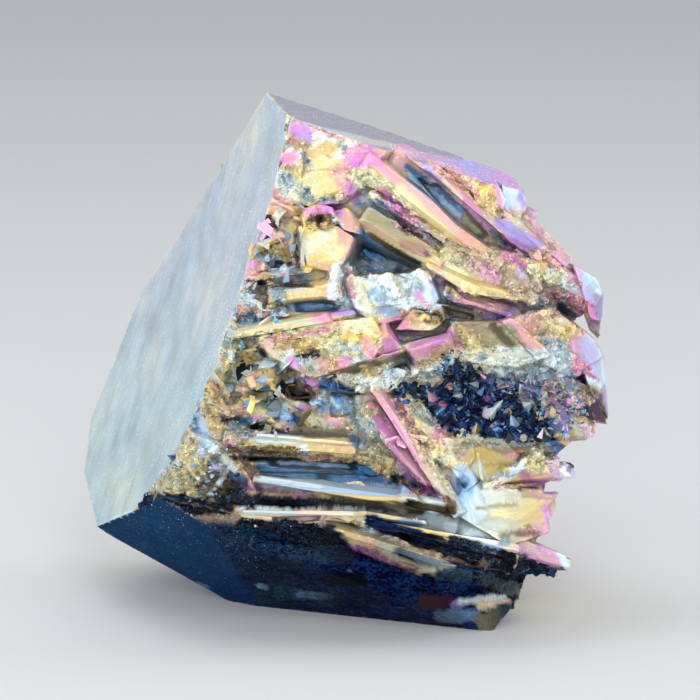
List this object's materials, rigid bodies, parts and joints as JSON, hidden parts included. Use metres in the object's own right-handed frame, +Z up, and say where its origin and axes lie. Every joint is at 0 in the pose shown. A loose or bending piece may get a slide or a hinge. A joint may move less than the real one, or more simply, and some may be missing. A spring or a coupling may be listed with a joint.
{
  "type": "aura quartz cluster",
  "caption": "Sawn wedge of grown-together quartz crystals with a rainbow metallic film and a small druse-lined pocket, standing on a flat foot.",
  "frame": {"origin": "on the surface that the stone stands on, under the middle of its bounding box", "axes": "+Z up, +X towards the crystals' tips, -Y out of the crystal face"},
  "size_m": [0.0422, 0.0294, 0.0413],
  "materials": {
    "aura_quartz": "metal-vapour film over crystal: gold, pink, violet and blue, with a satin to glassy gloss",
    "pocket_crust": "dark blue film on small sparkling crystals"
  },
  "bodies": {
    "root": {"crystal_cluster": "aura_quartz", "pocket_druse": "pocket_crust"}
  },
  "joints": []
}
